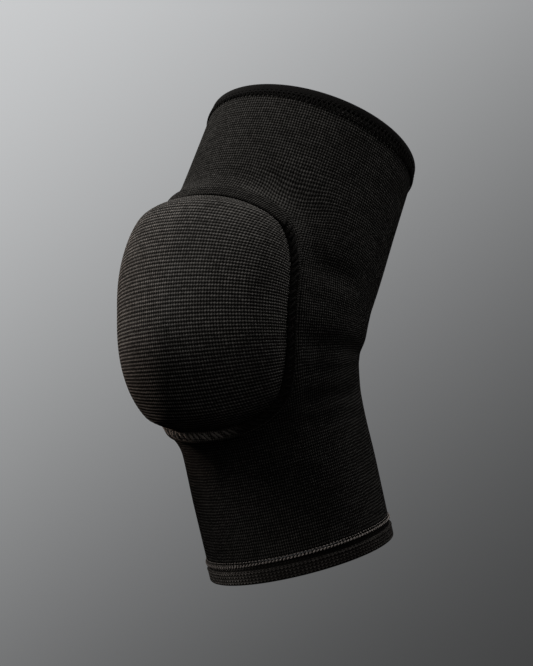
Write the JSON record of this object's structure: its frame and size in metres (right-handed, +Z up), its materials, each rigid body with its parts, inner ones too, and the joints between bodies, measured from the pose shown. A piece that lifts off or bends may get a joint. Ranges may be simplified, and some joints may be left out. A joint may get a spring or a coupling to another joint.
{
  "type": "wrestling knee pad",
  "caption": "Pull-on knitted knee sleeve, bent as on a leg, with a domed foam pad sewn to its front, a bound top edge and a turned hem, to cushion a knee on a mat.",
  "frame": {"origin": "the middle of the knee that the sleeve goes round, on the leg's middle line", "axes": "+Z up, -Y towards the front of the knee where the pad is; the leg leans back above and below the knee"},
  "size_m": [0.1286, 0.1977, 0.2975],
  "materials": {
    "sleeve_knit": "fine black elastic knit, matt",
    "binding_tape": "smooth black folded tape",
    "hem_knit": "black knit, turned and stitched",
    "pad_cover": "coarse ribbed black knit with a slight sheen",
    "seam_thread": "black overlocked thread"
  },
  "bodies": {
    "root": {"sleeve": "sleeve_knit", "top_binding": "binding_tape", "bottom_hem": "hem_knit", "knee_pad": "pad_cover", "pad_seam": "seam_thread"}
  },
  "joints": []
}
